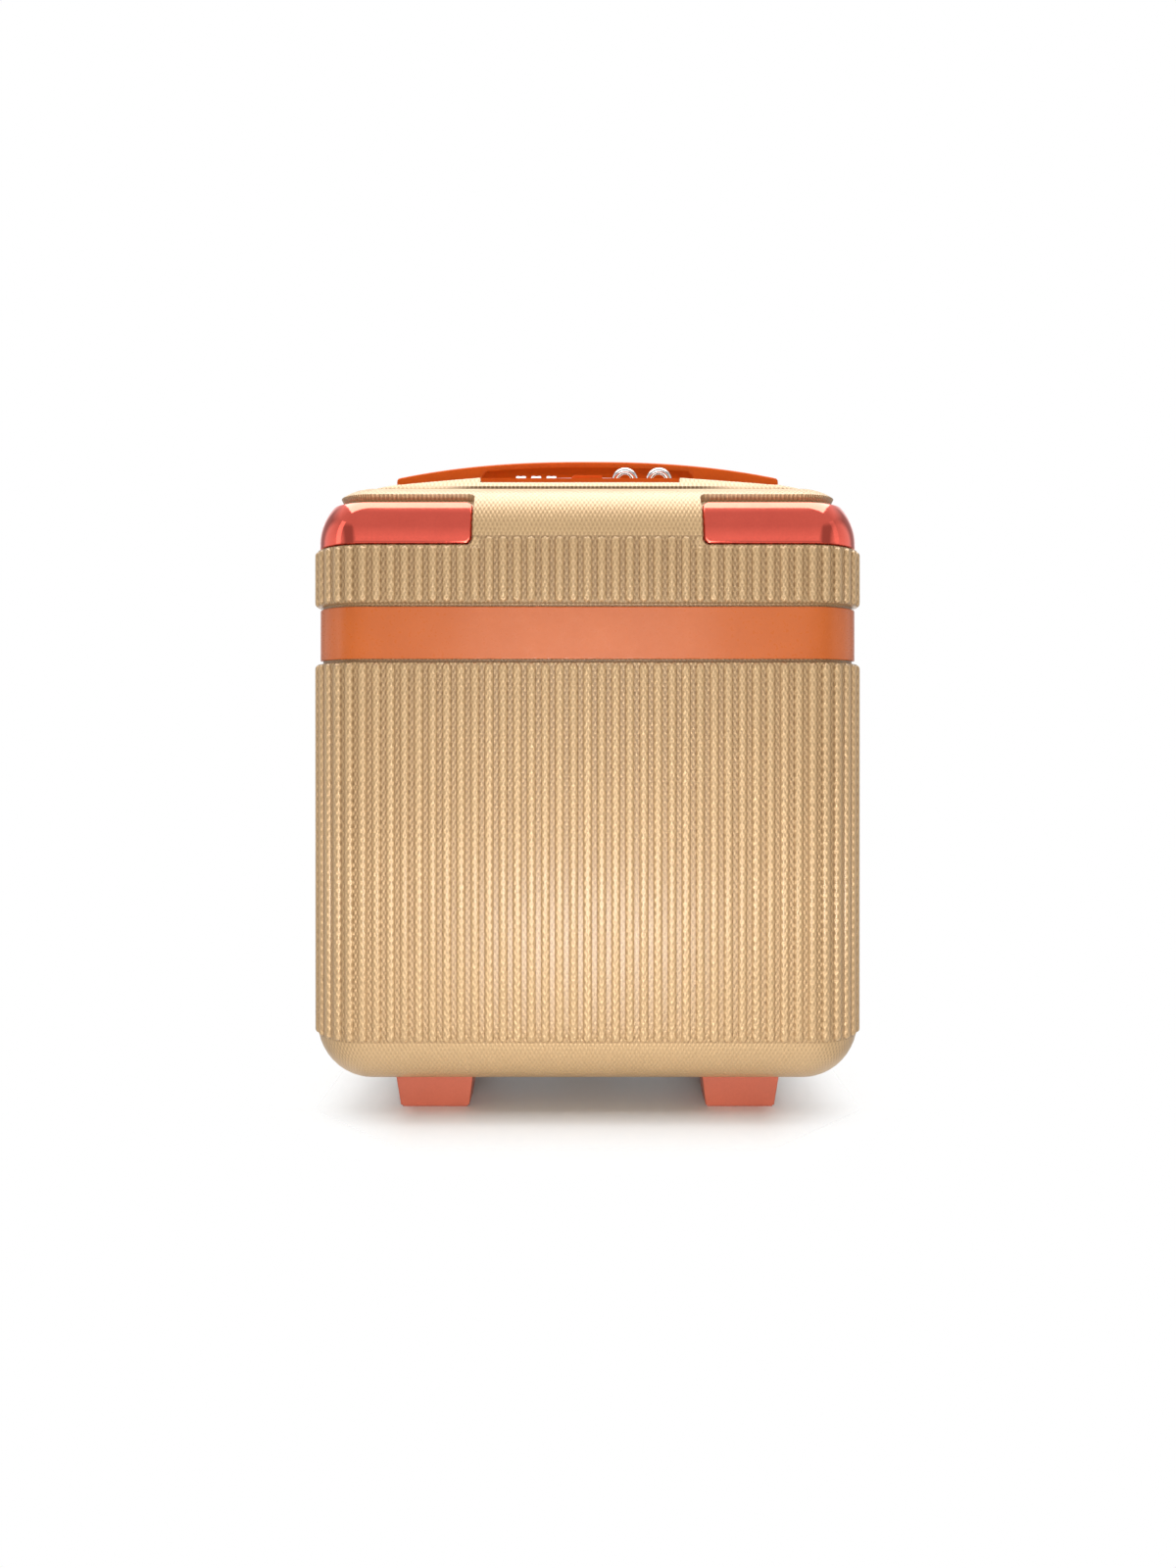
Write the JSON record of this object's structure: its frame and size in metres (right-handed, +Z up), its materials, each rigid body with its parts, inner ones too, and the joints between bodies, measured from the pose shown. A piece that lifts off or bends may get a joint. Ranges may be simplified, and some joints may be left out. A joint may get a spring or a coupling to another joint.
{
  "type": "hard-shell vanity case",
  "caption": "Ribbed hard-shell travel case in two zipped halves on a bottom hinge, with a lifting strap handle, combination lock, corner guards and feet.",
  "frame": {"origin": "on the floor, under the middle of the case", "axes": "+Z up, the decorated front with the lock faces -Y, +X to the right of someone who faces the front"},
  "size_m": [0.304, 0.165, 0.3757],
  "materials": {
    "shell_tan": "glossy",
    "band_orange": "satin",
    "guard_red": "glossy metallic lacquer",
    "plain_steel": "satin",
    "feet_coral": "satin",
    "piping_brown": "matte",
    "zip_tape_fabric": "woven",
    "zip_teeth_plastic": "satin",
    "hinge_steel": "satin",
    "lining_fabric": "woven",
    "bracket_black": "matte",
    "lock_orange": "satin",
    "dial_white": "glossy",
    "key_chrome": "polished"
  },
  "bodies": {
    "rear_half": {"rear_shell": "shell_tan", "rear_band": "band_orange", "rear_guard_left": "guard_red", "rear_guard_right": "guard_red", "rear_guard_screws": "plain_steel", "rear_feet": "feet_coral", "rear_foot_screws": "plain_steel", "rear_piping": "piping_brown", "rear_zip_tape": "zip_tape_fabric", "rear_zip_teeth": "zip_teeth_plastic", "rear_zip_stops": "hinge_steel", "rear_lining": "lining_fabric", "rear_hinge_leaves": "hinge_steel", "rear_hinge_rivets": "plain_steel", "hinge_pins": "hinge_steel", "handle_bracket_left": "bracket_black", "handle_bracket_right": "bracket_black", "bracket_plates": "hinge_steel", "bracket_screws": "plain_steel"},
    "front_half": {"front_shell": "shell_tan", "front_band": "band_orange", "front_guard_left": "guard_red", "front_guard_right": "guard_red", "front_guard_screws": "plain_steel", "front_feet": "feet_coral", "front_foot_screws": "plain_steel", "front_piping": "piping_brown", "front_zip_tape": "zip_tape_fabric", "front_zip_teeth": "zip_teeth_plastic", "front_zip_stops": "hinge_steel", "front_lining": "lining_fabric", "front_hinge_leaves": "hinge_steel", "front_hinge_rivets": "plain_steel", "lock_plate": "lock_orange", "lock_case": "bracket_black", "lock_screws": "plain_steel", "dial_shaft": "hinge_steel"},
    "handle_strap": {"handle": "lock_orange", "handle_pins": "hinge_steel"},
    "dial_1": {"dial_left": "dial_white"},
    "dial_2": {"dial_middle": "dial_white"},
    "dial_3": {"dial_right": "dial_white"},
    "release": {"release_slider": "lock_orange", "latch_bar": "hinge_steel"},
    "key": {"key_cylinder": "key_chrome"},
    "slider_1": {"zip_slider_left": "key_chrome"},
    "slider_2": {"zip_slider_right": "key_chrome"},
    "pull_1": {"zip_pull_left": "key_chrome"},
    "pull_2": {"zip_pull_right": "key_chrome"}
  },
  "joints": [
    {"name": "case_hinge", "type": "hinge", "parent": "rear_half", "child": "front_half", "pos_m": [0, 0, 0.0151], "axis": [1, 0, 0], "range_deg": [0, 100]},
    {"name": "handle_rise", "type": "slide", "parent": "rear_half", "child": "handle_strap", "axis": [0, 0, 1], "range_m": [0, 0.006]},
    {"name": "dial_1_turn", "type": "hinge", "parent": "front_half", "child": "dial_1", "pos_m": [-0.038, -0.0355, 0.3493], "axis": [1, 0, 0], "continuous": true},
    {"name": "dial_2_turn", "type": "hinge", "parent": "front_half", "child": "dial_2", "pos_m": [-0.0293, -0.0355, 0.3493], "axis": [1, 0, 0], "continuous": true},
    {"name": "dial_3_turn", "type": "hinge", "parent": "front_half", "child": "dial_3", "pos_m": [-0.0206, -0.0355, 0.3493], "axis": [1, 0, 0], "continuous": true},
    {"name": "release_slide", "type": "slide", "parent": "front_half", "child": "release", "axis": [1, 0, 0], "range_m": [0, 0.004], "stiffness_N_per_m": 300, "springref_m": -0.002},
    {"name": "key_turn", "type": "hinge", "parent": "front_half", "child": "key", "pos_m": [-0.0495, -0.027, 0.349], "axis": [0, 0, 1], "range_deg": [0, 90]},
    {"name": "slider_1_run", "type": "slide", "parent": "front_half", "child": "slider_1", "axis": [-1, 0, 0], "range_m": [0, 0.127]},
    {"name": "slider_2_run", "type": "slide", "parent": "front_half", "child": "slider_2", "axis": [1, 0, 0], "range_m": [0, 0.062]},
    {"name": "pull_1_lift", "type": "hinge", "parent": "slider_1", "child": "pull_1", "pos_m": [0.0224, -0.0015, 0.348], "axis": [-1, 0, 0], "range_deg": [0, 28]},
    {"name": "pull_2_lift", "type": "hinge", "parent": "slider_2", "child": "pull_2", "pos_m": [0.0428, -0.0015, 0.348], "axis": [-1, 0, 0], "range_deg": [0, 28]}
  ]
}
